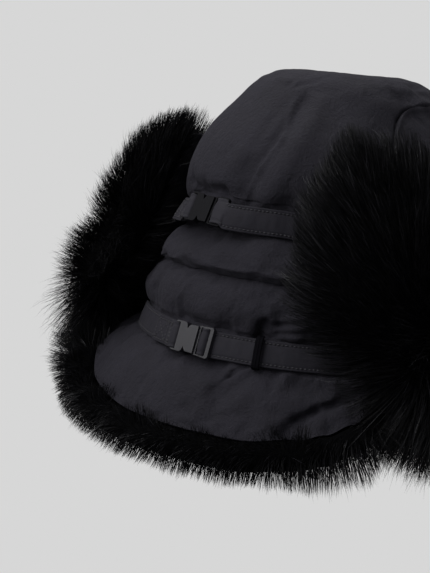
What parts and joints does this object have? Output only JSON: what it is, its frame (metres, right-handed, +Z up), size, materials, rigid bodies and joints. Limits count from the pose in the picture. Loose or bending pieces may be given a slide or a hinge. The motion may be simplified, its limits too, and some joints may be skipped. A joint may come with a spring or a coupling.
{
  "type": "bomber hat",
  "caption": "Padded nylon bomber hat with turned-up ear and brow flaps, a fur-trimmed neck flap and two straps with side-release buckles at the back.",
  "frame": {"origin": "centre of the head opening, level with the seam between the crown and its flaps", "axes": "+Z up through the crown, -Y toward the wearer's face, -X toward the wearer's right ear"},
  "size_m": [0.3846, 0.3647, 0.2635],
  "materials": {
    "nylon": "charcoal padded nylon with a soft sheen and fine creases",
    "fur": "near-black long-pile faux fur",
    "strap_fabric": "charcoal stitched nylon strap",
    "buckle_plastic": "dark grey moulded plastic"
  },
  "bodies": {
    "root": {"crown_centre_panel": "nylon", "crown_side_panel_right": "nylon", "crown_side_panel_left": "nylon", "neck_flap": "nylon", "ear_flap_right": "nylon", "ear_flap_left": "nylon", "brow_flap": "nylon", "fur_neck_trim": "fur", "fur_ear_right": "fur", "fur_ear_left": "fur", "fur_brow": "fur", "upper_strap": "strap_fabric", "upper_strap_tab": "strap_fabric", "lower_strap": "strap_fabric", "lower_strap_tab": "strap_fabric", "lower_strap_keeper": "strap_fabric", "upper_buckle_socket": "buckle_plastic", "upper_buckle_plug": "buckle_plastic", "lower_buckle_socket": "buckle_plastic", "lower_buckle_plug": "buckle_plastic"}
  },
  "joints": []
}
